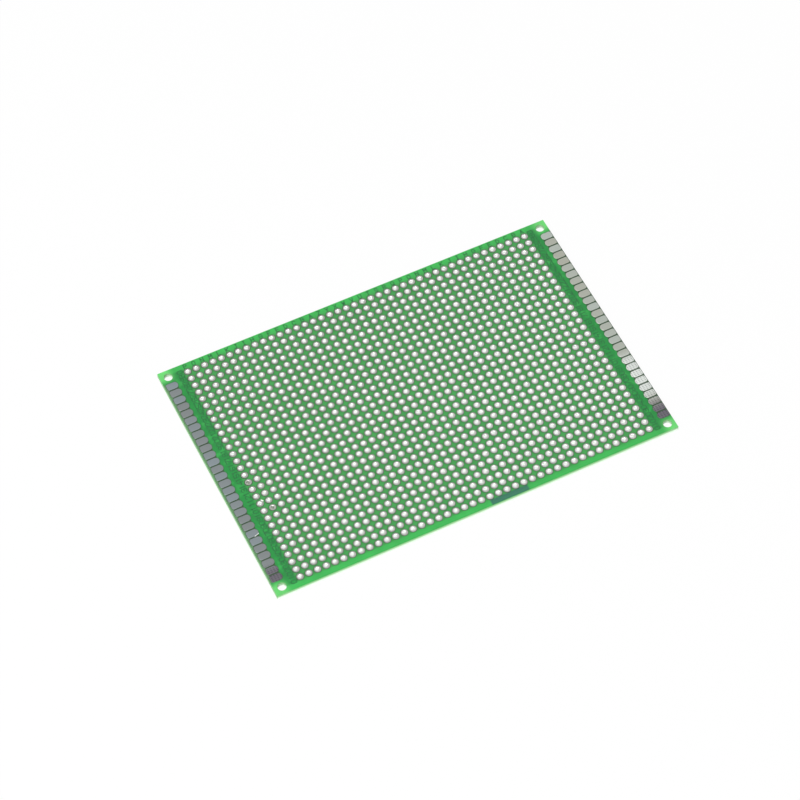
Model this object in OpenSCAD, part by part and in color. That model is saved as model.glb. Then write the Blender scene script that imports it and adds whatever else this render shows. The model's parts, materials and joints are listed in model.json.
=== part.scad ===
// Double-sided prototyping circuit board, bare: a glass-epoxy laminate sheet with a
// full grid of plated lead holes, a row of edge contacts along each short end, four
// plain corner holes, and a green solder mask on both faces.
// Millimetres. The board lies flat, long side along X, with its underside at Z = 0 and
// its outline centred on the origin.

/* [Board] */
// Length of the board, along X
board_l = 119.5; // [100:0.1:160]
// Width of the board, along Y
board_w = 79.5; // [40:0.1:110]
// Thickness of the bare laminate, without mask or copper
laminate_t = 1.5; // [0.6:0.1:3.2]
// Height of mask, pads and contacts over each face of the laminate
skin_t = 0.05; // [0.02:0.01:0.1]
// Shift along X of every drilled hole from the cut outline
drill_shift = 0.1; // [-0.2:0.05:0.2]
// Shift along X of the printed pads and contacts from the drilled holes
print_shift_x = 0.11; // [-0.15:0.01:0.15]
// Shift along Y of the printed pads and contacts from the drilled holes
print_shift_y = -0.05; // [-0.15:0.01:0.15]

/* [Lead hole grid] */
// Spacing of the lead holes, both ways
pitch = 2.54; // [2.5:0.01:3.2]
// Least length kept free of lead holes at each short end
end_band = 7.6; // [7.6:0.1:12]
// Least width kept free of lead holes along each long side
side_band = 2.9; // [2.5:0.1:6]
// Finished diameter of a lead hole, inside its plating
hole_d = 1; // [0.6:0.1:1.2]
// Thickness of the plating on a hole's wall
plating_t = 0.05; // [0.03:0.01:0.1]
// Diameter of the round pad at each end of a lead hole
pad_d = 2; // [1.6:0.05:2.1]
// Ring of bare laminate left between a pad and the mask
pad_clearance = 0.12; // [0.05:0.01:0.15]

/* [Edge contacts] */
// Length of an edge contact, along X
contact_l = 3.3; // [2:0.1:3.3]
// Width of an edge contact, along Y
contact_w = 2.14; // [1:0.02:2.2]
// Corner radius of a contact at its inner end
contact_inner_r = 1; // [0.3:0.05:1]
// Corner radius of a contact at its outer end
contact_outer_r = 0.5; // [0.2:0.05:1]
// Distance from a contact's outer end to the edge of a board with no shifts
contact_edge_gap = 0.33; // [0.33:0.01:1]
// Ring of bare laminate left between a contact and the mask
contact_clearance = 0.08; // [0.03:0.01:0.1]

/* [Corner holes] */
// Diameter of the four plain mounting holes
corner_hole_d = 2.5; // [2:0.1:2.6]
// Distance from a corner hole's centre to the board's short end
corner_inset_l = 2.25; // [2:0.05:3]
// Distance from a corner hole's centre to the board's long side
corner_inset_w = 2.25; // [2:0.05:3]

/* [Filled holes] */
// Column and row of each lead hole clogged with solder; columns count from 0 at the left
filled_holes = [[0, 14], [1, 10]];
// Depth of the solder's surface below each pad
solder_dip = 0.03; // [0.01:0.01:0.2]

/* [Hidden] */
$fn = 48;
columns = floor((board_l - 2 * end_band) / pitch) + 1;
rows = floor((board_w - 2 * side_band) / pitch) + 1;
first_x = drill_shift - (columns - 1) / 2 * pitch;
near_y = -(rows - 1) / 2 * pitch;
board_t = laminate_t + 2 * skin_t;
underside_z = 0;
laminate_z = skin_t;
top_skin_z = skin_t + laminate_t;
drill_d = hole_d + 2 * plating_t;
corner_x = board_l / 2 - corner_inset_l;
corner_y = board_w / 2 - corner_inset_w;
contact_inner_x = board_l / 2 - contact_edge_gap - contact_l;
print_shift = [print_shift_x, print_shift_y];
// Greatest corner radius of a contact, just under half its width.
contact_corner_limit = 0.49 * contact_w;

LAMINATE_COLOUR = [0.80, 0.88, 0.74];
MASK_COLOUR = [0.20, 0.62, 0.33];
TIN_COLOUR = [0.86, 0.87, 0.86];
SOLDER_COLOUR = [0.62, 0.63, 0.64];

// Name of the node that holds the plating of one row of holes; row 1 is the near one.
function plating_node(row) = str("hole_plating_", row < 10 ? "0" : "", row);
function column_x(column) = first_x + column * pitch;
function row_y(row) = near_y + (row - 1) * pitch;

// The cut edge of the board.
module outline() {
    square([board_l, board_w], center = true);
}

// A circle of diameter d at every lead hole, or at every pad where shift is the pads'.
module on_lead_grid(d, shift = [0, 0]) {
    for (column = [0:columns - 1], row = [1:rows])
        translate([column_x(column), row_y(row)] + shift) circle(d = d);
}

// A circle of diameter d at each corner hole.
module on_corners(d) {
    for (x = [-corner_x, corner_x], y = [-corner_y, corner_y])
        translate([drill_shift + x, y]) circle(d = d);
}

// A contact's outline grown by g all round. It lies along +X from its inner end.
module contact_outline(g) {
    half_w = contact_w / 2 + g;
    inner_r = min(contact_inner_r, contact_corner_limit) + g;
    outer_r = min(contact_outer_r, contact_corner_limit) + g;
    inner_end = -g;
    outer_end = contact_l + g;
    for (side = [-1, 1]) {
        translate([inner_end + inner_r, side * (half_w - inner_r)]) circle(r = inner_r);
        translate([outer_end - outer_r, side * (half_w - outer_r)]) circle(r = outer_r);
    }
    translate([inner_end + inner_r, -half_w])
        square([outer_end - outer_r - inner_end - inner_r, 2 * half_w]);
    translate([inner_end, inner_r - half_w])
        square([inner_r, 2 * (half_w - inner_r)]);
    translate([outer_end - outer_r, outer_r - half_w])
        square([outer_r, 2 * (half_w - outer_r)]);
}

// One end's contacts, beside every row but the first and the last; side is -1 or 1.
module contact_row(side, g = 0) {
    for (row = [2:rows - 1])
        translate([drill_shift + side * contact_inner_x, row_y(row)] + print_shift)
            mirror([side < 0 ? 1 : 0, 0]) contact_outline(g);
}

// The glass-epoxy sheet, drilled for every plating barrel and for the corner holes.
module laminate() {
    color(LAMINATE_COLOUR)
        translate([0, 0, laminate_z])
            linear_extrude(laminate_t)
                difference() {
                    outline();
                    on_lead_grid(drill_d);
                    on_corners(corner_hole_d);
                }
}

// The solder mask of one face, open round each pad, contact and corner hole.
module solder_mask(z) {
    color(MASK_COLOUR)
        translate([0, 0, z])
            linear_extrude(skin_t)
                difference() {
                    outline();
                    on_lead_grid(pad_d + 2 * pad_clearance, print_shift);
                    on_corners(corner_hole_d);
                    for (side = [-1, 1]) contact_row(side, contact_clearance);
                }
}

module mask_top() {
    solder_mask(top_skin_z);
}

module mask_bottom() {
    solder_mask(underside_z);
}

// One plated lead hole: a thin barrel with a pad at each face, in one piece. The barrel
// reaches halfway into each pad, and the pads lie a print shift off its axis.
module plated_hole() {
    difference() {
        union() {
            for (z = [underside_z, top_skin_z])
                translate([print_shift_x, print_shift_y, z]) cylinder(h = skin_t, d = pad_d);
            translate([0, 0, underside_z + skin_t / 2])
                cylinder(h = laminate_t + skin_t, d = drill_d);
        }
        translate([0, 0, underside_z - skin_t])
            cylinder(h = board_t + 2 * skin_t, d = hole_d);
    }
}

// Every plated hole of one row, as separate pieces.
module hole_plating(row) {
    color(TIN_COLOUR)
        for (column = [0:columns - 1])
            translate([column_x(column), row_y(row), 0]) plated_hole();
}

// The tinned contacts at one end of one face, as separate pieces.
module contacts(side, z) {
    color(TIN_COLOUR)
        translate([0, 0, z])
            linear_extrude(skin_t) contact_row(side);
}

module contacts_left_top() {
    contacts(-1, top_skin_z);
}

module contacts_right_top() {
    contacts(1, top_skin_z);
}

module contacts_left_bottom() {
    contacts(-1, underside_z);
}

module contacts_right_bottom() {
    contacts(1, underside_z);
}

// Solder left in the clogged lead holes, filling each barrel almost to its pads.
module solder_plugs() {
    color(SOLDER_COLOUR)
        for (filled = filled_holes)
            translate([column_x(filled[0]), row_y(filled[1]), solder_dip])
                cylinder(h = board_t - 2 * solder_dip, d = hole_d);
}

laminate();
mask_top();
mask_bottom();
for (row = [1:rows])
    hole_plating(row);
contacts_left_top();
contacts_right_top();
contacts_left_bottom();
contacts_right_bottom();
solder_plugs();
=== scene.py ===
"""Bare double-sided prototyping board: the finished look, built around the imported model.

Every size is in metres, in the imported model's frame: the board lies flat with its underside at
height 0, its long side along X, and its outline centred on the origin.
"""

import json
import math

import bmesh
import bpy
from bpy.props import (
    FloatProperty,
    FloatVectorProperty,
    IntProperty,
    PointerProperty,
    StringProperty,
)
from mathutils import Matrix, Quaternion, Vector
from mathutils.geometry import delaunay_2d_cdt


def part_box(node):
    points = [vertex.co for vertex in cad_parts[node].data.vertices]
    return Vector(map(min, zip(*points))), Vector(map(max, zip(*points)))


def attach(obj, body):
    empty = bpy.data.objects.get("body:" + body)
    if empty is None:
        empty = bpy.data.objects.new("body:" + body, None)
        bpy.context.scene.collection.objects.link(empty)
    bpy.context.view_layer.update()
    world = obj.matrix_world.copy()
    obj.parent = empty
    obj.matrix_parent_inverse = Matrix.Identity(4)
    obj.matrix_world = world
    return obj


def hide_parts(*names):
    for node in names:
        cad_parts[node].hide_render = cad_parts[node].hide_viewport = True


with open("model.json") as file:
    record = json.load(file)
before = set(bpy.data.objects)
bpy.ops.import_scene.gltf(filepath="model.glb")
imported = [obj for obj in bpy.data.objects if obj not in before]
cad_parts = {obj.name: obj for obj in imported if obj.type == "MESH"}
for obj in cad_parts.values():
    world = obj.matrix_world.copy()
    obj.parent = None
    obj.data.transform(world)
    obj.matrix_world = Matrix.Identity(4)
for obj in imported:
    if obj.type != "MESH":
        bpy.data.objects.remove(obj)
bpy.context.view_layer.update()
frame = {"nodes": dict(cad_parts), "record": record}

bl_info = {
    "name": "Prototyping board",
    "version": (1, 0, 0),
    "blender": (4, 5, 0),
    "location": "View3D > Sidebar > Board",
    "description": "Builds the looks of a bare perforated circuit board around its packed model",
    "category": "Object",
}

MM = 0.001
BODY = "root"


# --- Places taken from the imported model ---


def mount(name):
    """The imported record's mount of that name."""
    return next(m for m in frame["record"]["mounts"] if m["name"] == name)


def middle(low_high, axis):
    """The middle of a box along one axis."""
    low, high = low_high
    return (low[axis] + high[axis]) / 2


class Layout:
    """Where the board's holes, contacts and faces are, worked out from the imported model."""

    def __init__(self):
        # The nodes of the rows of plated holes, from the near row back.
        self.row_nodes = sorted(n for n in frame["nodes"] if n.startswith("hole_plating_"))
        low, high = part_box(self.row_nodes[0])
        next_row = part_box(self.row_nodes[1])
        self.pad_r = (high.y - low.y) / 2
        self.pitch = middle(next_row, 1) - middle((low, high), 1)
        first_pad = Vector((low.x + self.pad_r, low.y + self.pad_r))
        hole = Vector(mount("lead_hole")["pos_m"]).xy
        steps = (hole - first_pad) / self.pitch
        self.first_hole = hole - Vector((round(steps.x), round(steps.y))) * self.pitch
        self.pad_shift = first_pad - self.first_hole
        self.columns = round((high.x - low.x - 2 * self.pad_r) / self.pitch) + 1
        self.rows = len(self.row_nodes)
        self.hole_r = mount("lead_hole")["dims"]["r_mm"] * MM
        self.corner_r = mount("mounting_holes")["dims"]["hole_r_mm"] * MM
        self.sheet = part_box("laminate")
        self.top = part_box("mask_top")[1].z
        # Contacts lie beside every row but the first and the last.
        self.contacts = self.rows - 2
        left_low, left_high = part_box("contacts_left_top")
        right_low, right_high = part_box("contacts_right_top")
        self.contact_l = left_high.x - left_low.x
        self.contact_w = left_high.y - left_low.y - (self.contacts - 1) * self.pitch
        self.first_contact_y = left_low.y + self.contact_w / 2
        # The inner ends of the contacts at both ends, and the far side of the last.
        self.left_x, self.right_x, self.contacts_y = left_high.x, right_low.x, right_high.y
        self.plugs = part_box("solder_plugs")

    def lead_hole(self, column, row):
        """Centre of a lead hole. Columns count from 0 at the left, rows from 0 at the near side."""
        return self.first_hole + Vector((column, row)) * self.pitch

    def pad(self, column, row):
        """Centre of a lead hole's pads."""
        return self.lead_hole(column, row) + self.pad_shift

    def every(self, place):
        """That place of every lead hole."""
        return [place(column, row) for row in range(self.rows) for column in range(self.columns)]

    def corner_holes(self):
        """The centre of every corner hole."""
        holes = mount("mounting_holes")
        x, y, _ = holes["pos_m"]
        half_x = holes["dims"]["spacing_x_mm"] * MM / 2
        half_y = holes["dims"]["spacing_y_mm"] * MM / 2
        return [(x + a, y + b) for a in (-half_x, half_x) for b in (-half_y, half_y)]


layout = Layout()


# --- Sizes and colours that a user may change ---


def setting(kind, **fixed):
    """Makes settings of one kind: a function of a name, a description and a default."""

    def make(name, description, default):
        return kind(name=name, description=description, default=default, **fixed)

    return make


def length(name, description, millimetres):
    """A length setting. Its default is written in millimetres."""
    return metres(name, description, millimetres * MM)


def offset(name, description, millimetres):
    """A setting for a place or a step. Its default is written in millimetres."""
    return FloatVectorProperty(
        name=name, description=description, size=len(millimetres), subtype="TRANSLATION",
        default=[value * MM for value in millimetres],
    )


def degrees(name, description, default):
    """An angle setting. Its default is written in degrees."""
    return rotation(name, description, math.radians(default))


# Defaults of colours are written in linear red, green and blue.
colour = setting(FloatVectorProperty, subtype="COLOR", min=0, max=1)
metres = setting(FloatProperty, unit="LENGTH", precision=5, min=0)
rotation = setting(FloatProperty, unit="ROTATION")
watts = setting(FloatProperty, unit="POWER", min=0)
amount = setting(FloatProperty, min=0)
share = setting(FloatProperty, subtype="FACTOR", min=0, max=1)
whole = setting(IntProperty, min=0)
words = setting(StringProperty)


class BoardSheetLook(bpy.types.PropertyGroup):
    """The glass-epoxy sheet and the two skins of solder mask."""

    # Painted light on the cut edges: darker at the top as painted shade, near-white low down as a
    # painted glow through the sheet.
    edge: colour("Cut edge", "Glass-epoxy at the top of the cut edges", (0.20, 0.46, 0.18))
    edge_glow_low: colour("Low cut edge", "Glass-epoxy lower on the cut edges", (0.85, 1.0, 0.85))
    # The bare sheet shows in rings round the pads and contacts; its near-black colour there is
    # painted shade.
    bare: colour("Bare sheet", "Glass-epoxy seen beside a pad", (0.010, 0.03, 0.010))
    mask_dark: colour("Mask over grid", "Solder mask between the pads", (0.040, 0.30, 0.061))
    # The margin and corner colours are lighter as painted light shining up through the sheet.
    mask_margin_lit: colour("Mask on margin", "Solder mask along the long edges", (0.032, 0.41, 0.07))
    mask_band: colour("Mask on band", "Solder mask beside the end columns", (0.004, 0.23, 0.035))
    mask_corner_lit: colour("Mask at corner", "Solder mask round the corner holes", (0.13, 0.62, 0.15))
    mask_between: colour("Mask between", "Solder mask between the contacts", (0.03, 0.07, 0.03))
    mask_end: colour("Mask at end", "Solder mask outside the contacts", (0.10, 0.24, 0.10))
    mask_t: length("Mask thickness", "Thickness of the mask over the sheet", 0.025)
    mask_slope: length("Mask slope", "How far the edge of an opening slopes back", 0.03)
    pad_gap: length("Pad gap", "Ring of bare sheet round each pad", 0.165)
    contact_gap: length("Contact gap", "Ring of bare sheet round each contact", 0.08)
    opening_segments: whole("Opening segments", "Sides of each round opening", 16)


class PlatedHoleLook(bpy.types.PropertyGroup):
    """The plated lead holes."""

    # The pad tin is painted lighter at the right and darker at the left, as painted reflection.
    tin: colour("Pad tin", "Tinned copper of the pads at the right", (0.54, 0.56, 0.525))
    shaded_tin: colour("Dull pad tin", "Tinned copper of the pads at the left", (0.405, 0.43, 0.385))
    # The barrel colour is a near-white copy of the tin: a painted highlight inside the barrels and
    # on their mouths.
    barrel: colour("Barrel tin", "Tinned copper inside the barrels", (0.94, 0.945, 0.935))
    plating_t: length("Plating", "Thickness of the plating in the barrel", 0.05)
    mouth: length("Mouth", "Width and depth of the round of each hole's mouth", 0.08)
    rim_drop: length("Rim drop", "How far a pad falls from its mouth to its rim", 0.012)
    segments: whole("Segments", "Sides of each plated hole", 10)
    seed: whole("Seed", "Seed of the difference from hole to hole", 7)


class ContactLook(bpy.types.PropertyGroup):
    """The edge contacts."""

    # The contact tin is painted lighter at the right end and darker at the left, as painted
    # reflection.
    bright: colour("Bright tin", "Contacts at the right end", (0.45, 0.50, 0.46))
    shaded_tin: colour("Dull tin", "Contacts at the left end", (0.255, 0.300, 0.322))
    warm: colour("Warm tint", "Tint of the contacts that have browned", (1.0, 0.92, 0.86))
    worn: colour("Worn tin", "Contacts nearest the near corners", (0.178, 0.166, 0.194))
    # The near contacts at the right take this colour as a painted highlight, whiter and less metal
    # than the tin.
    painted_sheen: colour("Sheen", "Brightest of the hatched contacts", (0.74, 0.78, 0.74))
    # The hatching is a painted reflection: dark dashes on the tin of the near contacts.
    hatched_left: whole("Hatched left", "Contacts at the left whose tin is hatched", 2)
    hatched_right: whole("Hatched right", "Contacts at the right whose tin is hatched", 9)
    dash_step_x: length("Dash step along", "Spacing of the hatching's dashes along X", 0.83)
    dash_step_y: length("Dash step across", "Spacing of the hatching's dashes along Y", 0.57)
    inner_r: length("Inner radius", "Corner radius at the inner end", 1.0)
    outer_r: length("Outer radius", "Corner radius at the outer end", 0.5)
    rim: length("Rim", "Width of the sloped rim", 0.16)
    corner_segments: whole("Corner segments", "Faces round each corner", 5)
    seed: whole("Seed", "Seed of the difference from contact to contact", 3)


class SolderLook(bpy.types.PropertyGroup):
    """The solder left in two lead holes, the smear beside a pad, and a ridge of bright solder at a
    contact's edge that stands for a painted highlight.
    """

    # The plugs' solder is painted dark as shade, standing for the darker surroundings it reflects.
    solder: colour("Solder", "Dull solder in the clogged holes", (0.22, 0.24, 0.20))
    # This colour also paints the highlight along a contact's edge.
    bright: colour("Bright solder", "Solder of the smear and the nick", (0.95, 1.0, 0.93))
    dome: length("Dome", "How far the solder falls from its middle to the barrel", 0.25)
    segments: whole("Segments", "Sides of each plug", 24)
    smear_row: whole("Smear row", "Row beside whose first pad the smear lies", 10)
    smear_from: offset("Smear start", "From the pad's centre to the smear's start", (0.75, 0.9))
    smear_to: offset("Smear end", "From the pad's centre to the smear's end", (1.05, 0.5))
    smear_w: length("Smear width", "Width of the smear", 0.3)
    glint_row: whole("Nick row", "Row beside whose left contact's edge is bright", 7)
    glint_from: offset("Nick start", "From the row's first pad to the nick's start", (-5.4, -1.1))
    glint_to: offset("Nick end", "From the row's first pad to the nick's end", (-4.3, -0.72))
    glint_w: length("Nick width", "Width of the nick", 0.22)


class LabelLook(bpy.types.PropertyGroup):
    """The copper strokes under the mask that number the rows and letter the columns."""

    # The stroke and strip colours are dark as a painted shadow of the copper against light shining
    # up through the sheet.
    stroke: colour("Stroke", "Mask over a copper stroke", (0.003, 0.12, 0.026))
    strip: colour("Strip", "Mask over the copper strip in the near margin", (0.025, 0.16, 0.09))
    stroke_w: length("Stroke width", "Width of a stroke", 0.25)
    number_h: length("Number height", "Height of the row numbers", 1.5)
    letter_h: length("Letter height", "Height of the column letters", 1.25)
    number_gap: length("Number gap", "From an end hole's centre to its row number", 1.35)
    letter_gap: length("Letter gap", "From the far row's centres to the letters", 1.25)
    strip_l: length("Strip length", "Length of the copper strip", 9.5)
    strip_w: length("Strip width", "Width of the copper strip", 1.66)
    strip_gap: length("Strip gap", "From the near row's centres to the strip's middle", 2.0)
    strip_column: whole("Strip column", "Column that the strip's middle lies before", 24)
    left_letters: words("Left letters", "Letters of the left columns", "PONMLKJIHGFEDCBA")
    right_letters: words(
        "Right letters", "Letters of the other columns", "ZYXWVUTSRQPONMLKJIHGFEDCBA"
    )


class StageLook(bpy.types.PropertyGroup):
    """The floor, the lights and the camera."""

    floor: colour("Floor", "Pale floor", (0.86, 0.86, 0.86))
    floor_glow: share("Floor glow", "Part of the floor's white that no shadow takes", 0.96)
    ambient: amount("Ambient", "Strength of the even light all round", 0.52)
    key_power: watts("Key power", "Power of the light above", 8.0)
    fill_power: watts("Fill power", "Power of the low light in front", 5.0)
    focal: amount("Focal length", "Focal length in millimetres", 135.26)
    distance: length("Distance", "From the camera to the point it aims at", 820.41)
    azimuth: degrees("Azimuth", "Turn of the camera about the board", -24.276)
    elevation: degrees("Elevation", "Height of the camera over the horizon", 55.344)
    roll: degrees("Roll", "Turn of the camera about its own line", -1.991)
    aim: offset("Aim", "Point that the camera aims at", (-3.817, 1.967, 1.6))


# --- Node trees ---

WHITE = (1, 1, 1)
# The attribute that holds how each copy of a repeated shape differs in tone.
TONE = "tone"


class Wire:
    """An output socket that the signs of arithmetic work on, by adding Math nodes."""

    def __init__(self, graph, socket):
        self.graph = graph
        self.socket = socket

    def other(self, name):
        """Another output of the same node."""
        return Wire(self.graph, self.socket.node.outputs[name])

    def __add__(self, value):
        return self.graph.math("ADD", self, value)

    __radd__ = __add__

    def __mul__(self, value):
        return self.graph.math("MULTIPLY", self, value)

    __rmul__ = __mul__

    def __sub__(self, value):
        return self.graph.math("SUBTRACT", self, value)

    def __rsub__(self, value):
        return self.graph.math("SUBTRACT", value, self)

    def __truediv__(self, value):
        return self.graph.math("DIVIDE", self, value)

    def __gt__(self, value):
        return self.graph.math("GREATER_THAN", self, value)

    def __lt__(self, value):
        return self.graph.math("LESS_THAN", self, value)

    def __abs__(self):
        return self.graph.math("ABSOLUTE", self)


class Graph:
    """A node tree, for shading or for geometry, and the ways to add nodes to it."""

    def __init__(self, tree):
        self.tree = tree

    def node(self, kind, settings=None, sockets=None, out=0):
        """Adds a node: its settings first, then the values or wires of its sockets.

        A colour is written as red, green and blue, and is opaque.
        """
        made = self.tree.nodes.new(kind)
        for name, value in (settings or {}).items():
            setattr(made, name, value)
        for key, value in (sockets or {}).items():
            socket = made.inputs[key]
            if isinstance(value, Wire):
                self.tree.links.new(value.socket, socket)
            else:
                socket.default_value = (*value, 1.0) if socket.type == "RGBA" else value
        return Wire(self, made.outputs[out]) if len(made.outputs) else made

    def math(self, operation, first, second=0.0):
        """A Math node."""
        return self.node("ShaderNodeMath", {"operation": operation}, {0: first, 1: second})

    def ramp(self, value, low, high):
        """0 where value is at low or below, 1 at high or above, and smooth between."""
        return self.node(
            "ShaderNodeMapRange",
            {"interpolation_type": "SMOOTHSTEP"},
            {"Value": value, "From Min": low, "From Max": high},
        )

    def rise(self, value, edge, before=0.0, after=0.0):
        """0 up to that much before an edge, 1 from that much after it, and smooth between."""
        return self.ramp(value, edge - before, edge + after)

    def blend(self, factor, first, second, how="MIX"):
        """A mix of two colours. Their sockets on the node share names, so they go by number."""
        settings = {"data_type": "RGBA", "blend_type": how}
        return self.node("ShaderNodeMix", settings, {0: factor, 6: first, 7: second}, out=2)

    def product(self, first, second):
        """One colour multiplied by another."""
        return self.blend(1.0, first, second, "MULTIPLY")

    def dimmed(self, tint, factor):
        """A colour multiplied by a value."""
        grey = self.node("ShaderNodeCombineColor", None, {0: factor, 1: factor, 2: factor})
        return self.product(tint, grey)

    def place(self):
        """The point on the piece, in metres."""
        return self.node("ShaderNodeTexCoord", out="Object")

    def parts(self, vector):
        """The X, Y and Z of a vector."""
        x = self.node("ShaderNodeSeparateXYZ", None, {"Vector": vector}, out="X")
        return x, x.other("Y"), x.other("Z")

    def flatness(self):
        """1 where the surface lies flat, 0 where it stands upright."""
        return abs(self.parts(self.node("ShaderNodeNewGeometry", out="Normal"))[2])

    def tone(self):
        """The value from 0 to 1 that differs from copy to copy of a repeated shape."""
        return self.node("ShaderNodeAttribute", {"attribute_name": TONE}, out="Fac")

    def seen(self):
        """1 for what the camera sees, by itself or in metal and glass, 0 for lighting."""
        path = self.node("ShaderNodeLightPath", out="Is Camera Ray")
        seen = self.math("MAXIMUM", path, path.other("Is Glossy Ray"))
        return self.math("MAXIMUM", seen, path.other("Is Transmission Ray"))

    def noise(self, place, size, detail=2.0, stretch=(1, 1, 1)):
        """Noise from 0 to 1, with features about size across, longer where stretch is above 1."""
        scale = [1 / (size * s) for s in stretch]
        scaled = self.node("ShaderNodeMapping", None, {"Vector": place, "Scale": scale})
        sockets = {"Vector": scaled, "Scale": 1.0, "Detail": detail}
        return self.node("ShaderNodeTexNoise", None, sockets, out="Fac")

    def bump(self, height, distance, strength):
        """A normal bent by a height from 0 to 1 that stands for distance."""
        sockets = {"Height": height, "Distance": distance, "Strength": strength}
        return self.node("ShaderNodeBump", None, sockets)


class Finish(Graph):
    """The node tree of a new material."""

    def __init__(self, name):
        self.material = bpy.data.materials.new(name)
        self.material.use_nodes = True
        super().__init__(self.material.node_tree)
        self.tree.nodes.clear()

    def surface(self, sockets):
        """Ends the material in one Principled shader with these sockets, and returns it."""
        shader = self.node("ShaderNodeBsdfPrincipled", None, sockets)
        self.node("ShaderNodeOutputMaterial", None, {"Surface": shader})
        return self.material


# --- Materials ---

# A surface is flat above FLAT and no longer a wall above WALL, on a scale from 0, upright, to 1.
WALL = 0.7
FLAT = 0.9


def laminate_finish(look):
    """Glass-epoxy, layered at its cut edges, with painted light on them.

    Low down the cut edges are painted near-white, a painted glow of light through the sheet over
    its own pale edge; at the top and on the end walls they are darker, as painted shade. Beside a
    pad the bare sheet is painted near-black, as painted shade.
    """
    end_wall_depth = 0.05 * MM
    end_wall_shade_lift = 0.7 * MM
    full_green_below_top = 0.2 * MM
    graph = Finish("glass_epoxy")
    place = graph.place()
    x, _, z = graph.parts(place)
    low, high = layout.sheet
    # Painted light on the cut edges: near-white low down as a painted glow, darker towards the top
    # as painted shade, and the end walls darker still.
    end_wall = abs(x) > high.x - end_wall_depth
    green = graph.ramp(z + end_wall * end_wall_shade_lift, low.z, high.z - full_green_below_top)
    layers = graph.noise(place, size=0.16 * MM, detail=3.0, stretch=(6, 6, 1))
    cut = graph.blend(green, look.edge_glow_low, look.edge)
    cut = graph.dimmed(cut, 0.9 + 0.2 * layers)
    weave = graph.noise(place, size=0.35 * MM)
    # The bare sheet in the rings round pads and contacts, painted near-black as shade.
    face = graph.dimmed(look.bare, 0.75 + 0.5 * weave)
    return graph.surface({
        "Base Color": graph.blend(graph.flatness() > WALL, cut, face),
        "Roughness": 0.62 - 0.12 * layers,
        "Normal": graph.bump(layers, distance=0.02 * MM, strength=0.6),
    })


def mask_finish(look):
    """Green solder mask with a faint weave beneath.

    It is lighter in the margins and lightest at the corners, as painted light shining up through
    the sheet where no copper lies near.
    """
    blotch_fade = (0.5, 0.75)
    blotch_strength = 0.6
    graph = Finish("green_mask")
    place = graph.place()
    along, y, _ = graph.parts(place)
    across = abs(y)
    first_pad = layout.pad(0, 0)
    last_pad = layout.pad(layout.columns - 1, layout.rows - 1)
    contacts_y = layout.contacts_y
    corner_y = (contacts_y + layout.sheet[1].y) / 2

    # Painted light: the margins, and the corners most, are lighter where no copper lies near, as
    # light shining up through the sheet.
    margin = graph.rise(across, last_pad.y + layout.pad_r, before=0.2 * MM, after=0.7 * MM)
    corner = graph.rise(abs(along), layout.right_x, before=1.5 * MM, after=1.5 * MM)
    corner = corner * graph.ramp(across, contacts_y - 0.5 * MM, corner_y)
    past_columns = graph.math(
        "MAXIMUM", first_pad.x - layout.pad_r - along, along - last_pad.x - layout.pad_r
    )
    band = graph.rise(past_columns, 0.0, before=0.3 * MM, after=0.5 * MM)
    by_contacts = graph.math("MAXIMUM", layout.left_x - along, along - layout.right_x)
    between = (across < contacts_y) * graph.rise(by_contacts, 0.0, after=0.5 * MM)
    outside = (along < 0) * graph.rise(by_contacts, layout.contact_l, before=0.3 * MM)

    patches = graph.noise(place, size=2.2 * MM, detail=1.0)
    blotch = graph.ramp(patches, *blotch_fade)
    lighter = graph.math("MAXIMUM", margin, band * blotch * blotch_strength)
    tone = graph.blend(band, look.mask_dark, look.mask_band)
    tone = graph.blend(lighter, tone, look.mask_margin_lit)
    tone = graph.blend(corner, tone, look.mask_corner_lit)
    web = graph.blend(outside, look.mask_between, look.mask_end)
    tone = graph.blend(between, tone, web)
    cloud = graph.noise(place, size=4 * MM)
    weave = graph.noise(place, size=0.4 * MM, detail=1.0)
    return graph.surface({
        "Base Color": graph.dimmed(tone, 0.75 + 0.42 * cloud + 0.08 * weave),
        "Roughness": 0.3 + 0.12 * weave,
        "Normal": graph.bump(weave, distance=0.006 * MM, strength=0.5),
    })


def tin_finish(look):
    """Hot-tinned copper that differs a little from hole to hole.

    The barrels and their mouths take a near-white copy of the tin, a painted highlight, and the
    pads darken towards the far left and lighten towards the near right, as painted reflection.
    """
    graph = Finish("hot_tin")
    place = graph.place()
    x, y, _ = graph.parts(place)
    half_l = layout.sheet[1].x
    # Painted reflection: the pads darken towards the far left and lighten towards the near right.
    lit_near_right = graph.ramp(x - y, -half_l, half_l)
    tone = graph.tone()
    ripple = graph.noise(place, size=0.3 * MM)
    pad = graph.blend(lit_near_right, look.shaded_tin, look.tin)
    pad = graph.dimmed(pad, 1.0 - 0.1 * tone - 0.1 * ripple)
    # All but the flat pads take the near-white barrel colour, a painted highlight.
    flat = graph.flatness() > FLAT
    return graph.surface({
        "Base Color": graph.blend(flat, look.barrel, pad),
        "Metallic": 1.0,
        "Roughness": 0.12 + flat * (0.14 + 0.1 * ripple + 0.06 * tone),
        "Normal": graph.bump(ripple, distance=0.008 * MM, strength=0.4),
    })


# Where the looks of the contacts fade along the row of them, which counts from 0 at the near one:
# worn ones end, and the painted highlight starts. The fade of the painted reflection of hatching
# lies about its last contact.
WORN_ENDS = (0.5, 3.0)
SHEEN_STARTS = (1.5, 4.0)
HATCHING_ENDS = (-1.3, 0.3)
# Where on its wave, from -1 to 1, a dash of the painted reflection of hatching begins and is full,
# along X and along Y.
DASH_ALONG = (-0.4, 0.6)
DASH_ACROSS = (-0.2, 0.7)


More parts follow.
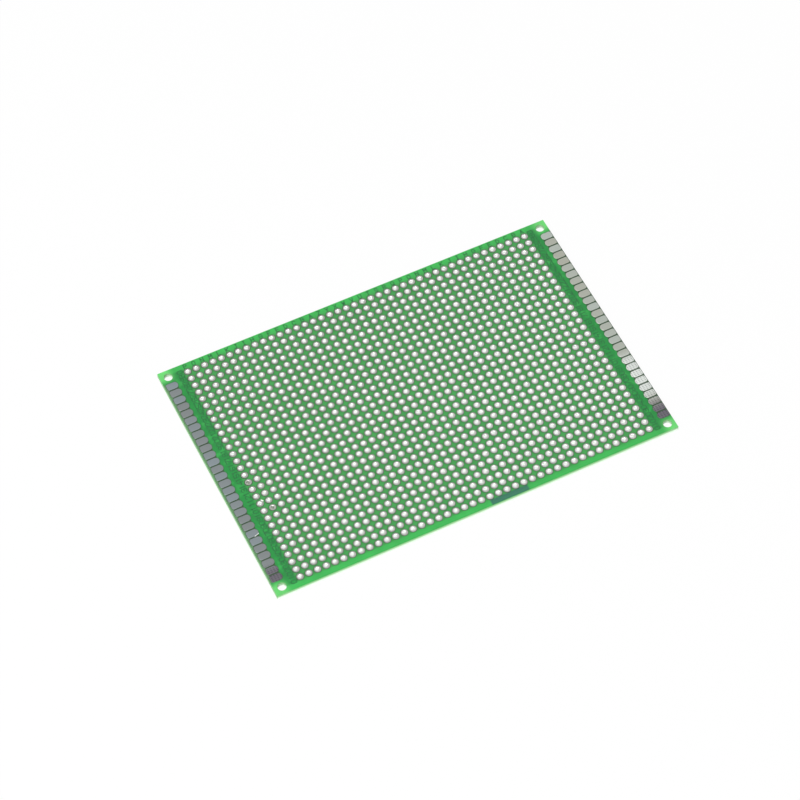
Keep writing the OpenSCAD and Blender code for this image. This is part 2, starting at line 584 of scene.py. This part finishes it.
def contact_finish(name, look, tint, hatched):
    """Flat tinned contact, satin and rippled.

    Near the near corner it carries a painted reflection of hatching in dark dashes and a painted
    highlight, and its sloped rim carries a painted highlight.
    """
    graph = Finish(name)
    place = graph.place()
    x, y, _ = graph.parts(place)
    row = (y - layout.first_contact_y) / layout.pitch
    worn = 1 - graph.ramp(row, *WORN_ENDS)
    hatching = 1 - graph.ramp(row, *(hatched + fade for fade in HATCHING_ENDS))
    # Painted highlight on the near contacts at the right: whiter and partly non-metal.
    painted_sheen = hatching * graph.ramp(row, *SHEEN_STARTS)
    wave_x = graph.math("SINE", x * (math.tau / look.dash_step_x))
    wave_y = graph.math("SINE", y * (math.tau / look.dash_step_y))
    # Painted reflection: the dark dashes of hatching on the near contacts.
    dash = hatching * graph.ramp(wave_x, *DASH_ALONG) * graph.ramp(wave_y, *DASH_ACROSS)
    # Painted highlight: the sloped rim of each contact is drawn lighter.
    rim = 1 - graph.ramp(graph.flatness(), FLAT, 0.99)
    tone = graph.tone()
    ripple = graph.noise(place, size=0.45 * MM, stretch=(1.6, 0.7, 1))
    tin = graph.blend(tone, tint, graph.product(tint, look.warm))
    tin = graph.blend(painted_sheen, tin, look.painted_sheen)
    tin = graph.blend(hatching * worn, tin, look.worn)
    strength = 1.0 + 0.25 * rim - 0.06 * tone - 0.08 * ripple - 0.5 * dash
    return graph.surface({
        "Base Color": graph.dimmed(tin, strength),
        "Metallic": 1.0 - 0.6 * painted_sheen,
        "Roughness": 0.34 + 0.08 * ripple,
        "Normal": graph.bump(ripple, distance=0.01 * MM, strength=0.4),
    })


def solder_finish(name, tint):
    """Finely grained solder."""
    graph = Finish(name)
    grain = graph.noise(graph.place(), size=0.12 * MM, detail=3.0)
    return graph.surface({
        "Base Color": graph.dimmed(tint, 0.8 + 0.4 * grain),
        "Metallic": 1.0,
        "Roughness": 0.36 + 0.14 * grain,
        "Normal": graph.bump(grain, distance=0.01 * MM, strength=0.5),
    })


def stroke_finish(name, tint):
    """Solder mask over copper, darker than over the bare sheet as a painted shadow of the copper
    against light shining up through the sheet.
    """
    graph = Finish(name)
    cloud = graph.noise(graph.place(), size=0.5 * MM)
    return graph.surface({
        "Base Color": graph.dimmed(tint, 0.85 + 0.3 * cloud),
        "Roughness": 0.3 + 0.1 * cloud,
        "Normal": graph.bump(cloud, distance=0.006 * MM, strength=0.5),
    })


# --- Meshes ---


def circle(centre, radius, sides):
    """The corners of a regular polygon, anticlockwise."""
    return [
        (
            centre[0] + radius * math.cos(math.tau * i / sides),
            centre[1] + radius * math.sin(math.tau * i / sides),
        )
        for i in range(sides)
    ]


def contact_outline(look, grown):
    """A contact's outline grown all round, anticlockwise. Its inner end is at x = 0, along +X."""
    half_w = layout.contact_w / 2 + grown
    inner_r, outer_r = look.inner_r + grown, look.outer_r + grown
    outer_x = layout.contact_l + grown - outer_r
    inner_x = inner_r - grown
    points = []
    for x, y, radius, start in (
        (outer_x, outer_r - half_w, outer_r, -90),
        (outer_x, half_w - outer_r, outer_r, 0),
        (inner_x, half_w - inner_r, inner_r, 90),
        (inner_x, inner_r - half_w, inner_r, 180),
    ):
        for step in range(look.corner_segments + 1):
            angle = math.radians(start + 90 * step / look.corner_segments)
            points.append((x + radius * math.cos(angle), y + radius * math.sin(angle)))
    return points


def in_scene(name, data):
    """A new object of that mesh, curve, light or camera."""
    made = bpy.data.objects.new(name, data)
    bpy.context.scene.collection.objects.link(made)
    return made


def outward_mesh(name, build):
    """The mesh of what was built, with its faces turned outwards."""
    bmesh.ops.recalc_face_normals(build, faces=build.faces)
    mesh = bpy.data.meshes.new(name)
    build.to_mesh(mesh)
    build.free()
    return mesh


def skin_mesh(name, rings, sharp_rings, tube=False):
    """A closed smooth skin through rings of points that match one to one, sharp along some.

    A tube runs on from its last ring to its first. Any other skin is capped at both ends.
    """
    build = bmesh.new()
    rings = [[build.verts.new(point) for point in ring] for ring in rings]
    ways_on = [ring[1:] + ring[:1] for ring in rings]
    for number in range(len(rings) if tube else len(rings) - 1):
        there = (number + 1) % len(rings)
        for quad in zip(rings[number], ways_on[number], ways_on[there], rings[there]):
            build.faces.new(quad).smooth = True
    if not tube:
        build.faces.new(rings[0][::-1]).smooth = True
        build.faces.new(rings[-1]).smooth = True
    for number in sharp_rings:
        for edge in zip(rings[number], ways_on[number]):
            build.edges.get(edge).smooth = False
    return outward_mesh(name, build)


# What the triangulation is asked for: the triangles inside the loops, and points joined only
# where they are this close, in metres. The sheet is what only its outline, loop 0, goes round.
INSIDE_LOOPS = 1
TOUCHING = 1e-9
OUTLINE = 0


def perforated_mesh(name, low, high, outline, openings):
    """A flat sheet with holes. outline and openings are loops of points, anticlockwise.

    Each opening is a pair of loops, one for the sheet's lower face and one for its upper face.
    """
    build = bmesh.new()
    sheets = []
    for side, height in enumerate((low, high)):
        loops = [outline] + [opening[side] for opening in openings]
        flat = [Vector(point) for loop in loops for point in loop]
        numbered, first = [], 0
        for loop in loops:
            numbered.append(list(range(first, first + len(loop))))
            first += len(loop)
        found, _, triangles, _, _, loops_round = delaunay_2d_cdt(
            flat, [], numbered, INSIDE_LOOPS, TOUCHING
        )
        if len(found) != len(flat):
            raise ValueError(f"{name}: the outlines cross or meet")
        corners = [build.verts.new((*point, height)) for point in flat]
        for triangle, around in zip(triangles, loops_round):
            if list(around) == [OUTLINE]:
                build.faces.new([corners[i] for i in triangle])
        sheets.append(corners)
    for loop in numbered:
        for here, there in zip(loop, loop[1:] + loop[:1]):
            build.faces.new([sheets[0][here], sheets[0][there], sheets[1][there], sheets[1][here]])
    return outward_mesh(name, build)


def geometry_tree(name, inputs, grow):
    """The geometry tree of that name, made once, with those named inputs.

    grow adds the nodes between the inputs and one geometry, which is made real and painted.
    """
    if name in bpy.data.node_groups:
        return bpy.data.node_groups[name]
    tree = bpy.data.node_groups.new(name, "GeometryNodeTree")
    for label, kind in {**inputs, "Finish": "Material"}.items():
        tree.interface.new_socket(name=label, in_out="INPUT", socket_type=f"NodeSocket{kind}")
    tree.interface.new_socket(name="Geometry", in_out="OUTPUT", socket_type="NodeSocketGeometry")
    graph = Graph(tree)
    given = graph.node("NodeGroupInput")
    solid = graph.node(
        "GeometryNodeRealizeInstances", None, {"Geometry": grow(graph, given.other)}
    )
    painted = graph.node(
        "GeometryNodeSetMaterial", None, {"Geometry": solid, "Material": given.other("Finish")}
    )
    graph.node("NodeGroupOutput", None, {"Geometry": painted})
    return tree


def copies_in_line(graph, given):
    """A shape repeated in a line, each copy a little different in tone."""
    line = graph.node("GeometryNodeMeshLine", {"mode": "OFFSET"}, {
        "Count": given("Count"), "Start Location": given("First Place"), "Offset": given("Step"),
    })
    tone = graph.node(
        "FunctionNodeRandomValue", {"data_type": "FLOAT"}, {"Seed": given("Seed")}, out=1
    )
    line = graph.node(
        "GeometryNodeStoreNamedAttribute",
        {"data_type": "FLOAT", "domain": "POINT"},
        {"Geometry": line, "Name": TONE, "Value": tone},
    )
    shape = graph.node("GeometryNodeObjectInfo", None, {"Object": given("Shape")}, out="Geometry")
    return graph.node("GeometryNodeInstanceOnPoints", None, {"Points": line, "Instance": shape})


def grown_mesh(host, tree, values):
    """The plain mesh that a geometry tree makes of an object, from these named values."""
    modifier = host.modifiers.new("grow", "NODES")
    modifier.node_group = tree
    for item in tree.interface.items_tree:
        if item.in_out == "INPUT" and item.name in values:
            modifier[item.identifier] = values[item.name]
    graph = bpy.context.evaluated_depsgraph_get()
    mesh = bpy.data.meshes.new_from_object(host.evaluated_get(graph))
    host.modifiers.remove(modifier)
    return mesh


def repeated(name, values):
    """A piece that repeats a shape in a line, from the tree's named values."""
    piece = in_scene(name, bpy.data.meshes.new(name))
    tree = geometry_tree("repeat_in_line", {
        "Shape": "Object", "Count": "Int", "First Place": "Vector", "Step": "Vector",
        "Seed": "Int",
    }, copies_in_line)
    piece.data = grown_mesh(piece, tree, values)
    return piece


def settle(piece, slot, *nodes):
    """Ties a finished piece to the board and hides the nodes it stands for; the slot is not used.
    """
    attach(piece, BODY)
    if nodes:
        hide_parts(*nodes)


# --- Lettering ---

# Each sign is drawn on a grid 4 wide and 6 high. A stroke is a run of two-digit points, across
# then up, and a sign's strokes break where they turn sharply.
SIGNS = {
    "0": "10 30 41 45 36 16 05 01 10",
    "1": "15 26,26 20",
    "2": "05 16 36 45 44 00,00 40",
    "3": "05 16 36 45 44 33 13,33 42 41 30 10 01",
    "4": "36 02,02 42,33 30",
    "5": "46 06,06 03,03 33 42 41 30 10 01",
    "6": "45 36 16 05 01 10 30 41 42 33 13 02",
    "7": "06 46,46 10",
    "8": "13 02 01 10 30 41 42 33 13 04 05 16 36 45 44 33",
    "9": "01 10 30 41 45 36 16 05 04 13 33 44",
    "A": "00 26,26 40,12 32",
    "B": "00 06,06 36 45 44 33,03 33 42 41 30 00",
    "C": "45 36 16 05 01 10 30 41",
    "D": "00 06,06 26 44 42 20 00",
    "E": "00 06,06 46,03 33,00 40",
    "F": "00 06,06 46,03 33",
    "G": "45 36 16 05 01 10 30 41 43,43 23",
    "H": "00 06,40 46,03 43",
    "I": "20 26,16 36,10 30",
    "J": "01 10 20 31 36,26 46",
    "K": "00 06,46 02,13 40",
    "L": "06 00,00 40",
    "M": "00 06,06 23,23 46,46 40",
    "N": "00 06,06 40,40 46",
    "O": "10 30 41 45 36 16 05 01 10",
    "P": "00 06,06 36 45 44 33 03",
    "Q": "10 30 41 45 36 16 05 01 10,22 40",
    "R": "00 06,06 36 45 44 33 03,23 40",
    "S": "45 36 16 05 04 13 33 42 41 30 10 01",
    "T": "06 46,26 20",
    "U": "06 01 10 30 41 46",
    "V": "06 20,20 46",
    "W": "06 10,10 24,24 30,30 46",
    "X": "00 46,06 40",
    "Y": "06 23,23 46,23 20",
    "Z": "06 46,46 00,00 40",
}
SIGN_WIDTH = 4
SIGN_HEIGHT = 6
SIGN_STEP = 5.6


def strokes(text, height, base, turn):
    """The strokes of a text, as lists of flat points, centred on base and turned about it."""
    unit = height / SIGN_HEIGHT
    text_l = (len(text) - 1) * SIGN_STEP + SIGN_WIDTH
    ahead = Vector((math.cos(turn), math.sin(turn)))
    upward = Vector((-ahead.y, ahead.x))
    drawn = []
    for place, sign in enumerate(text):
        for stroke in SIGNS[sign].split(","):
            points = []
            for point in stroke.split():
                x = (place * SIGN_STEP + int(point[0]) - text_l / 2) * unit
                points.append(base + ahead * x + upward * int(point[1]) * unit)
            drawn.append(points)
    return drawn


RIDGE_SIDES = 10
# How far past the end of a stroke its rounding reaches, and how wide it is there, as shares of
# half the stroke's width.
ROUND_END = [(math.sin(a), math.cos(a)) for a in map(math.radians, (30, 60, 88))]


def ridge_along(graph, given):
    """A low round ridge along every stroke."""
    ring = graph.node(
        "GeometryNodeCurvePrimitiveCircle", None,
        {"Resolution": RIDGE_SIDES, "Radius": given("Half Width")}, out="Curve",
    )
    squeeze = graph.node("ShaderNodeCombineXYZ", None, {
        "X": 1.0, "Y": given("Height") / given("Half Width"), "Z": 1.0,
    })
    profile = graph.node("GeometryNodeTransform", None, {"Geometry": ring, "Scale": squeeze})
    swept = graph.node(
        "GeometryNodeCurveToMesh", None,
        {"Curve": given("Geometry"), "Profile Curve": profile, "Fill Caps": True},
    )
    return graph.node("GeometryNodeSetShadeSmooth", None, {"Geometry": swept})


def ridges(name, drawn, base_z, width, height, material):
    """A piece of low ridges along flat strokes, on a level base."""
    curve = bpy.data.curves.new(name, "CURVE")
    curve.dimensions = "3D"
    half_w = width / 2
    for points in drawn:
        closed = (points[0] - points[-1]).length < TOUCHING
        run = [(point, 1.0) for point in (points[:-1] if closed else points)]
        if not closed:
            tail = (points[-1] - points[-2]).normalized()
            head = (points[0] - points[1]).normalized()
            run += [(points[-1] + tail * half_w * s, w) for s, w in ROUND_END]
            run = [(points[0] + head * half_w * s, w) for s, w in reversed(ROUND_END)] + run
        spline = curve.splines.new("POLY")
        spline.points.add(len(run) - 1)
        for bead, (point, width_share) in zip(spline.points, run):
            bead.co = (*point, base_z, 1)
            bead.radius = width_share
        spline.use_cyclic_u = closed
    host = in_scene(name + "_path", curve)
    tree = geometry_tree("ridge_along_strokes", {
        "Geometry": "Geometry", "Half Width": "Float", "Height": "Float",
    }, ridge_along)
    mesh = grown_mesh(host, tree, {"Half Width": half_w, "Height": height, "Finish": material})
    bpy.data.objects.remove(host)
    return in_scene(name, mesh)


# --- Operators ---


def sheet_outline():
    """The board's outline, anticlockwise."""
    low, high = layout.sheet
    return [(low.x, low.y), (high.x, low.y), (high.x, high.y), (low.x, high.y)]


def round_openings(look, place, radius, corner_r):
    """The openings round that place of every lead hole, and then those round the corner holes."""
    sides = look.opening_segments
    return [circle(c, radius, sides) for c in layout.every(place)] + [
        circle(c, corner_r, 2 * sides) for c in layout.corner_holes()
    ]


def mask_surface(scene):
    """The height of the mask's upper surface."""
    return layout.sheet[1].z + scene.board_sheet.mask_t


class BOARD_OT_laminate(bpy.types.Operator):
    """Make the drilled glass-epoxy sheet"""

    bl_idname = "board.laminate"
    bl_label = "Glass-epoxy sheet"

    def execute(self, context):
        look = context.scene.board_sheet
        drill_r = layout.hole_r + context.scene.board_holes.plating_t
        low, high = layout.sheet
        openings = round_openings(look, layout.lead_hole, drill_r, layout.corner_r)
        mesh = perforated_mesh(
            "laminate_sheet", low.z, high.z, sheet_outline(), [(o, o) for o in openings]
        )
        mesh.materials.append(laminate_finish(look))
        settle(in_scene("laminate_sheet", mesh), "laminate", "laminate")
        return {"FINISHED"}


class BOARD_OT_mask(bpy.types.Operator):
    """Coat both faces with solder mask, open round every pad, contact and corner hole"""

    bl_idname = "board.mask"
    bl_label = "Solder mask"

    def execute(self, context):
        look = context.scene.board_sheet
        contacts = context.scene.board_contacts
        material = mask_finish(look)
        pad_open = layout.pad_r + look.pad_gap

        def edges(wider):
            """The edge of every opening, made that much wider."""
            loops = round_openings(look, layout.pad, pad_open + wider, layout.corner_r + wider)
            outline = contact_outline(contacts, look.contact_gap + wider)
            for row in range(layout.contacts):
                y = layout.first_contact_y + row * layout.pitch
                loops.append([(layout.right_x + a, y + b) for a, b in outline])
                loops.append([(layout.left_x - a, y + b) for a, b in reversed(outline)])
            return loops

        snug, wide = edges(0.0), edges(look.mask_slope)
        low, high = layout.sheet
        for name, node, bottom, top, pairs in (
            ("mask_over_top", "mask_top", high.z, high.z + look.mask_t, zip(snug, wide)),
            ("mask_under_bottom", "mask_bottom", low.z - look.mask_t, low.z, zip(wide, snug)),
        ):
            mesh = perforated_mesh(name, bottom, top, sheet_outline(), list(pairs))
            mesh.materials.append(material)
            settle(in_scene(name, mesh), "solder_mask", node)
        return {"FINISHED"}


# The rings of a plated hole that stay sharp: the pads' rims and where they meet the barrel.
RIM_RINGS = (2, 3, 4, 5)
# The rings of a contact, from its foot to its top: how far in from the foot as a share of the
# rim's width, and how high as a share of the contact's height. The foot stays sharp.
CONTACT_RINGS = ((0.0, 0.0), (0.0, 0.35), (0.25, 0.75), (1.0, 1.0))
FOOT_RING = (0,)
# The rings of a solder plug's dome, as shares of its radius.
DOME_RINGS = (0.25, 0.5, 0.75, 0.9, 1.0)


class BOARD_OT_plated_holes(bpy.types.Operator):
    """Plate every lead hole: a barrel with a domed pad at both faces"""

    bl_idname = "board.plated_holes"
    bl_label = "Plated holes"

    def execute(self, context):
        look = context.scene.board_holes
        low, high = layout.sheet
        drilled, printed = (0.0, 0.0), layout.pad_shift
        upper = [
            (drilled, layout.hole_r, layout.top - look.mouth),
            (drilled, layout.hole_r + look.mouth, layout.top),
            (printed, layout.pad_r, layout.top - look.rim_drop),
            (drilled, layout.hole_r + look.plating_t, high.z),
        ]
        lower = [(centre, radius, low.z + high.z - z) for centre, radius, z in reversed(upper)]
        rings = [
            [(*corner, z) for corner in circle(centre, radius, look.segments)]
            for centre, radius, z in upper + lower
        ]
        shape = in_scene("hole_shape", skin_mesh("hole_shape", rings, RIM_RINGS, tube=True))
        material = tin_finish(look)
        for row, node in enumerate(layout.row_nodes):
            piece = repeated(node.replace("hole_plating", "plated_holes"), {
                "Shape": shape,
                "Count": layout.columns,
                "First Place": (*layout.lead_hole(0, row), 0.0),
                "Step": (layout.pitch, 0.0, 0.0),
                "Seed": look.seed + row,
                "Finish": material,
            })
            settle(piece, "tinned_copper", node)
        bpy.data.objects.remove(shape)
        return {"FINISHED"}


class BOARD_OT_contacts(bpy.types.Operator):
    """Tin the edge contacts at both ends of both faces"""

    bl_idname = "board.contacts"
    bl_label = "Edge contacts"

    def execute(self, context):
        look = context.scene.board_contacts
        low, high = layout.sheet
        skin = layout.top - high.z
        # The left contacts take the darker tin and the right ones the lighter, as painted
        # reflection.
        for side, turn, inner_x, tint, hatched in (
            ("left", -1, layout.left_x, look.shaded_tin, look.hatched_left),
            ("right", 1, layout.right_x, look.bright, look.hatched_right),
        ):
            material = contact_finish(f"{side}_contact_tin", look, tint, hatched)
            for face, base, up in (("top", high.z, 1), ("bottom", low.z, -1)):
                rings = [
                    [
                        (turn * x, y, up * rise * skin)
                        for x, y in contact_outline(look, -inset * look.rim)
                    ]
                    for inset, rise in CONTACT_RINGS
                ]
                name = f"contacts_{side}_{face}"
                shape = in_scene("contact_shape", skin_mesh("contact_shape", rings, FOOT_RING))
                piece = repeated(f"tinned_{name}", {
                    "Shape": shape,
                    "Count": layout.contacts,
                    "First Place": (inner_x, layout.first_contact_y, base),
                    "Step": (0.0, layout.pitch, 0.0),
                    "Seed": look.seed,
                    "Finish": material,
                })
                settle(piece, "tinned_copper", name)
                bpy.data.objects.remove(shape)
        return {"FINISHED"}


class BOARD_OT_solder(bpy.types.Operator):
    """Fill the clogged lead holes with solder, and leave a smear and a painted highlight at a
    contact
    """

    bl_idname = "board.solder"
    bl_label = "Solder"

    def execute(self, context):
        look = context.scene.board_solder
        low, high = layout.plugs
        radius = layout.hole_r
        upper = [(part * radius, layout.top - look.dome * part ** 2) for part in DOME_RINGS]
        lower = [(r, layout.top - z) for r, z in reversed(upper)]
        rings = [
            [(*corner, z) for corner in circle((0.0, 0.0), r, look.segments)]
            for r, z in upper + lower
        ]
        # One plug lies in the far left corner of their box, the other in the near right one.
        build = bmesh.new()
        for place in (
            Vector((low.x + radius, high.y - radius, 0)),
            Vector((high.x - radius, low.y + radius, 0)),
        ):
            copy = skin_mesh("solder_shape", rings, (len(upper) - 1, len(upper)))
            copy.transform(Matrix.Translation(place))
            build.from_mesh(copy)
        fill = bpy.data.meshes.new("solder_fill")
        build.to_mesh(fill)
        build.free()
        # The plugs take the dark solder colour: painted shade.
        fill.materials.append(solder_finish("dull_solder", look.solder))
        settle(in_scene("solder_fill", fill), "solder", "solder_plugs")
        material = solder_finish("bright_solder", look.bright)
        mask_z = mask_surface(context.scene)
        # The second ridge is a painted highlight: near-white solder along a contact's rounded edge.
        for name, row, start, end, width in (
            ("solder_smear", look.smear_row, look.smear_from, look.smear_to, look.smear_w),
            ("solder_nick", look.glint_row, look.glint_from, look.glint_to, look.glint_w),
        ):
            pad = layout.pad(0, row)
            run = [pad + Vector(start), pad + Vector(end)]
            settle(ridges(name, [run], mask_z, width, layout.top - mask_z, material), "solder")
        return {"FINISHED"}


class BOARD_OT_labels(bpy.types.Operator):
    """Raise the row numbers, the column letters and the plain strip under the mask"""

    bl_idname = "board.labels"
    bl_label = "Row and column labels"

    def execute(self, context):
        look = context.scene.board_labels
        mask_z = mask_surface(context.scene)
        reading_up = math.radians(90)
        left_numbers, right_numbers, letters = [], [], []
        for row in range(layout.rows):
            text = f"{row + 1:02d}"
            left = layout.pad(0, row) - Vector((look.number_gap, 0.0))
            right = layout.pad(layout.columns - 1, row)
            right.x += look.number_gap + look.number_h
            left_numbers += strokes(text, look.number_h, left, reading_up)
            right_numbers += strokes(text, look.number_h, right, reading_up)
        for column, sign in enumerate(look.left_letters + look.right_letters):
            base = layout.pad(column, layout.rows - 1) + Vector((0.0, look.letter_gap))
            letters += strokes(sign, look.letter_h, base, 0.0)
        half_strip = Vector((look.strip_l / 2, 0.0))
        middle_of_strip = layout.lead_hole(look.strip_column, 0) - Vector((0.0, look.strip_gap))
        strip = [middle_of_strip - half_strip, middle_of_strip + half_strip]
        stroke_mask = stroke_finish("mask_over_strokes", look.stroke)
        strip_mask = stroke_finish("mask_over_strip", look.strip)
        for name, drawn, width, material in (
            ("row_numbers_left", left_numbers, look.stroke_w, stroke_mask),
            ("row_numbers_right", right_numbers, look.stroke_w, stroke_mask),
            ("column_letters", letters, look.stroke_w, stroke_mask),
            ("plain_strip", [strip], look.strip_w, strip_mask),
        ):
            piece = ridges(name, drawn, mask_z, width, layout.top - mask_z, material)
            settle(piece, "solder_mask")
        return {"FINISHED"}


class BOARD_OT_stage(bpy.types.Operator):
    """Set the pale floor, the soft lights and the camera"""

    bl_idname = "board.stage"
    bl_label = "Floor, lights and camera"

    def execute(self, context):
        look = context.scene.board_stage
        lay_floor(look)
        set_lights(look)
        set_camera(look)
        return {"FINISHED"}


# Side of the square floor, in metres.
FLOOR_SIDE = 6.0
# The square lights: name, place and side, in metres, and the setting that holds the power.
LIGHTS = (
    ("key", (-0.62, -0.15, 0.90), 0.7, "key_power"),
    ("fill", (-0.42, -0.92, 0.28), 0.6, "fill_power"),
)
# The camera's sensor, in millimetres, and the nearest and furthest that it sees, in metres.
SENSOR_WIDTH = 36.0
NEAREST_SEEN = 0.01
FURTHEST_SEEN = 20.0


def lay_floor(look):
    """A pale floor that shows white, with the board's shadow faint on it."""
    half = FLOOR_SIDE / 2
    mesh = bpy.data.meshes.new("floor")
    corners = [(-half, -half, 0), (half, -half, 0), (half, half, 0), (-half, half, 0)]
    mesh.from_pydata(corners, [], [(0, 1, 2, 3)])
    graph = Finish("pale_floor")
    paint = graph.node("ShaderNodeBsdfDiffuse", None, {"Color": look.floor})
    glow = graph.node("ShaderNodeEmission", None, {"Color": WHITE, "Strength": 1.0})
    glowing = graph.seen() * look.floor_glow
    mix = graph.node("ShaderNodeMixShader", None, {0: glowing, 1: paint, 2: glow})
    graph.node("ShaderNodeOutputMaterial", None, {"Surface": mix})
    mesh.materials.append(graph.material)
    in_scene("floor", mesh)


def set_lights(look):
    """An even pale world, a large soft light over the left, and a low one before the edges."""
    world = bpy.data.worlds.new("studio")
    bpy.context.scene.world = world
    world.use_nodes = True
    world.node_tree.nodes.clear()
    graph = Graph(world.node_tree)
    strength = look.ambient + (1 - look.ambient) * graph.seen()
    glow = graph.node("ShaderNodeBackground", None, {"Color": WHITE, "Strength": strength})
    graph.node("ShaderNodeOutputWorld", None, {"Surface": glow})
    for name, place, side, power in LIGHTS:
        lamp = bpy.data.lights.new(name, "AREA")
        lamp.size = side
        lamp.energy = getattr(look, power)
        holder = in_scene(name, lamp)
        holder.location = place
        holder.rotation_mode = "QUATERNION"
        holder.rotation_quaternion = (-Vector(place)).to_track_quat("-Z", "Y")


def set_camera(look):
    """The camera, aimed at the board from its near left."""
    lens = bpy.data.cameras.new("camera")
    lens.sensor_width = SENSOR_WIDTH
    lens.lens = look.focal
    lens.clip_start = NEAREST_SEEN
    lens.clip_end = FURTHEST_SEEN
    holder = in_scene("camera", lens)
    level = math.cos(look.elevation)
    back = Vector((
        math.sin(look.azimuth) * level,
        -math.cos(look.azimuth) * level,
        math.sin(look.elevation),
    ))
    holder.location = Vector(look.aim) + back * look.distance
    holder.rotation_mode = "QUATERNION"
    holder.rotation_quaternion = (-back).to_track_quat("-Z", "Y") @ Quaternion(
        (0, 0, 1), look.roll
    )
    bpy.context.scene.camera = holder
    bpy.context.scene.view_settings.view_transform = "Standard"


class BOARD_PT_builder(bpy.types.Panel):
    """The board's sizes, colours and steps"""

    bl_idname = "BOARD_PT_builder"
    bl_label = "Prototyping board"
    bl_space_type = "VIEW_3D"
    bl_region_type = "UI"
    bl_category = "Board"

    def draw(self, context):
        for name, steps in BUILD_ORDER:
            box = self.layout.box()
            group = getattr(context.scene, name)
            for value in group.bl_rna.properties.keys():
                if value not in {"rna_type", "name"}:
                    box.prop(group, value)
            for step in steps:
                box.operator(step.bl_idname)


SETTINGS = {
    "board_stage": StageLook,
    "board_sheet": BoardSheetLook,
    "board_holes": PlatedHoleLook,
    "board_contacts": ContactLook,
    "board_solder": SolderLook,
    "board_labels": LabelLook,
}
BUILD_ORDER = (
    ("board_stage", (BOARD_OT_stage,)),
    ("board_sheet", (BOARD_OT_laminate, BOARD_OT_mask)),
    ("board_holes", (BOARD_OT_plated_holes,)),
    ("board_contacts", (BOARD_OT_contacts,)),
    ("board_solder", (BOARD_OT_solder,)),
    ("board_labels", (BOARD_OT_labels,)),
)
CLASSES = (
    *SETTINGS.values(),
    *(step for _, steps in BUILD_ORDER for step in steps),
    BOARD_PT_builder,
)


def register():
    """Registers the settings, the operators and the panel."""
    for cls in CLASSES:
        bpy.utils.register_class(cls)
    for name, group in SETTINGS.items():
        setattr(bpy.types.Scene, name, PointerProperty(type=group))


def unregister():
    """Takes out what register put in."""
    for name in SETTINGS:
        delattr(bpy.types.Scene, name)
    for cls in reversed(CLASSES):
        bpy.utils.unregister_class(cls)


def main():
    """Builds the board step by step."""
    register()
    bpy.ops.board.stage()
    bpy.ops.board.laminate()
    bpy.ops.board.mask()
    bpy.ops.board.plated_holes()
    bpy.ops.board.contacts()
    bpy.ops.board.solder()
    bpy.ops.board.labels()


if __name__ == "__main__":
    main()
